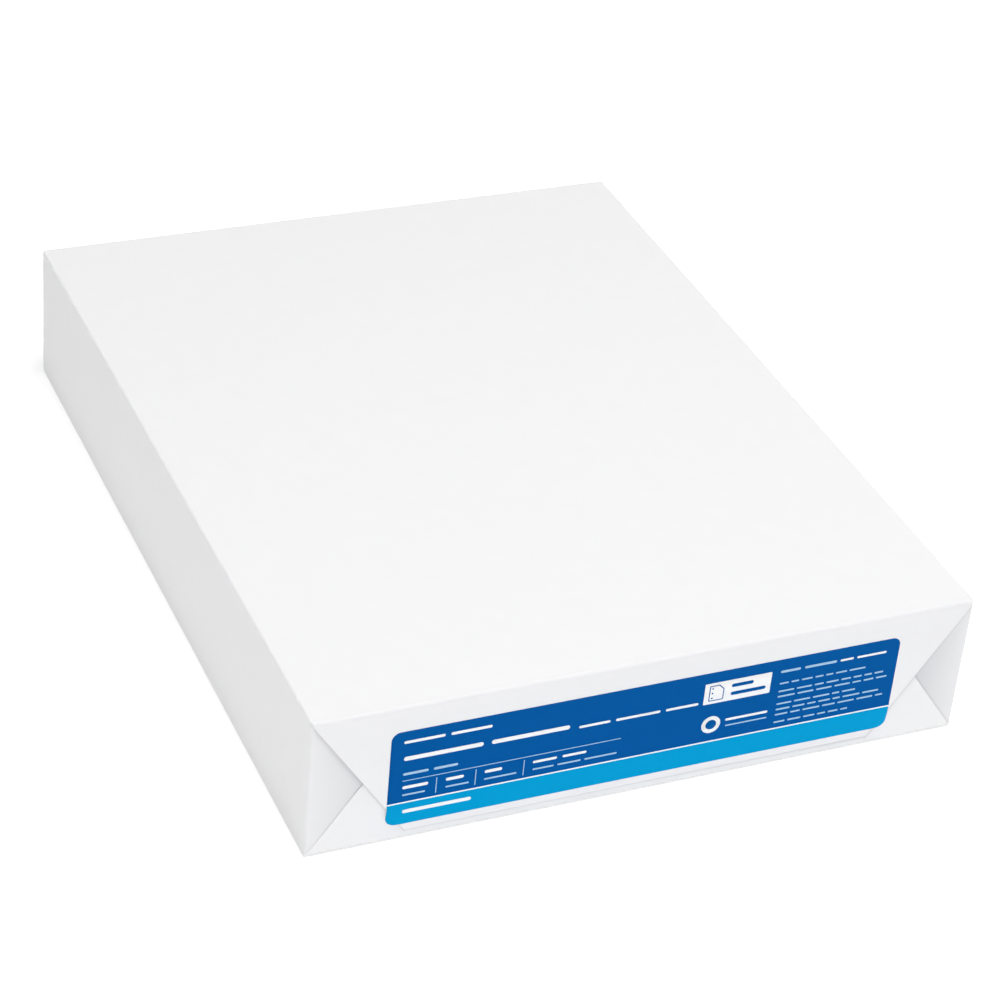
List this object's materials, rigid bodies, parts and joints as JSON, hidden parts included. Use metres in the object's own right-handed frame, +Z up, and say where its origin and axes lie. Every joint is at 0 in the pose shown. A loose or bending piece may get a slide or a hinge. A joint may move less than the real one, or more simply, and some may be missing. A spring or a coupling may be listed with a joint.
{
  "type": "ream of paper",
  "caption": "Sealed pack of letter-size copy paper in a plain white wrapper, with envelope-folded ends and an adhesive label on one end.",
  "frame": {"origin": "middle of the pack's base", "axes": "+X across the pack's width, +Y along its length away from the labelled end, +Z up through its thickness"},
  "size_m": [0.2164, 0.2825, 0.0491],
  "materials": {
    "wrapper": "smooth coated white wrapping paper, satin",
    "label": "printed adhesive paper label, semi-gloss"
  },
  "bodies": {
    "root": {"wrapped_ream": "wrapper", "end_label": "label"}
  },
  "joints": []
}
